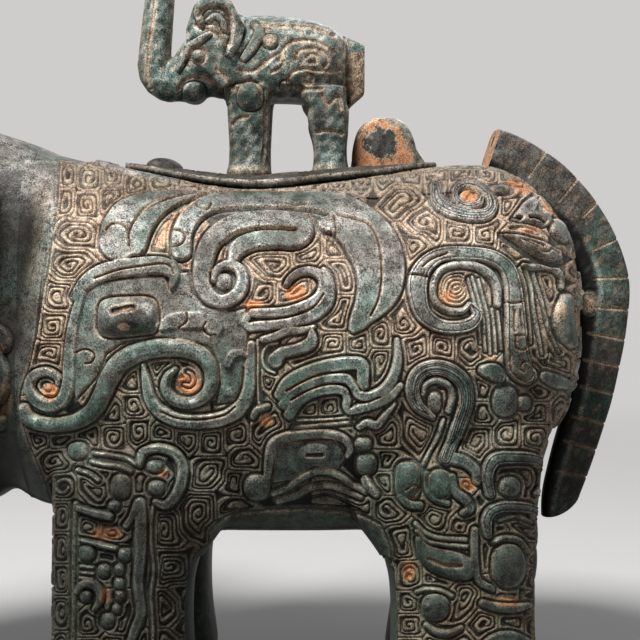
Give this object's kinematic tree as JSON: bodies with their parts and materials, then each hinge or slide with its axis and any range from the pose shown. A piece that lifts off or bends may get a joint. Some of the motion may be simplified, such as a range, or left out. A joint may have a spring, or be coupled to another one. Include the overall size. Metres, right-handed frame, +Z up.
{
  "type": "elephant-shaped bronze zun",
  "caption": "Hollow cast elephant-shaped wine vessel that pours through its raised trunk, with column legs, a ringed tail and a lift-off oval lid whose knob is a small elephant.",
  "frame": {"origin": "on the ground under the middle of the vessel's overall box", "axes": "+X from the trunk towards the tail, +Y towards the elephant's right side, +Z up"},
  "size_m": [0.214, 0.1068, 0.1723],
  "materials": {
    "bronze_dark": "dark green patina",
    "bronze_green": "green patina",
    "bronze_brown": "brown patina with earth",
    "fired_clay": "matte"
  },
  "bodies": {
    "vessel": {"belly_shell": "bronze_dark", "wall_spacers": "bronze_brown", "head_shell": "bronze_dark", "trunk_spout": "bronze_green", "left_ear": "bronze_dark", "right_ear": "bronze_dark", "left_tusk": "bronze_brown", "right_tusk": "bronze_brown", "front_left_leg": "bronze_green", "front_right_leg": "bronze_green", "rear_left_leg": "bronze_green", "rear_right_leg": "bronze_green", "front_left_core": "fired_clay", "front_right_core": "fired_clay", "rear_left_core": "fired_clay", "rear_right_core": "fired_clay", "tail": "bronze_green", "tail_peg": "bronze_brown"},
    "lid": {"lid_plate": "bronze_brown", "lid_ring": "bronze_brown", "lid_lug": "bronze_brown", "knob_torso": "bronze_green", "knob_head": "bronze_green", "knob_trunk": "bronze_green", "knob_left_ear": "bronze_green", "knob_right_ear": "bronze_green", "knob_tail": "bronze_brown"}
  },
  "joints": [
    {"name": "lid_lift", "type": "slide", "parent": "vessel", "child": "lid", "axis": [0, 0, 1], "range_m": [0, 0.06]}
  ]
}
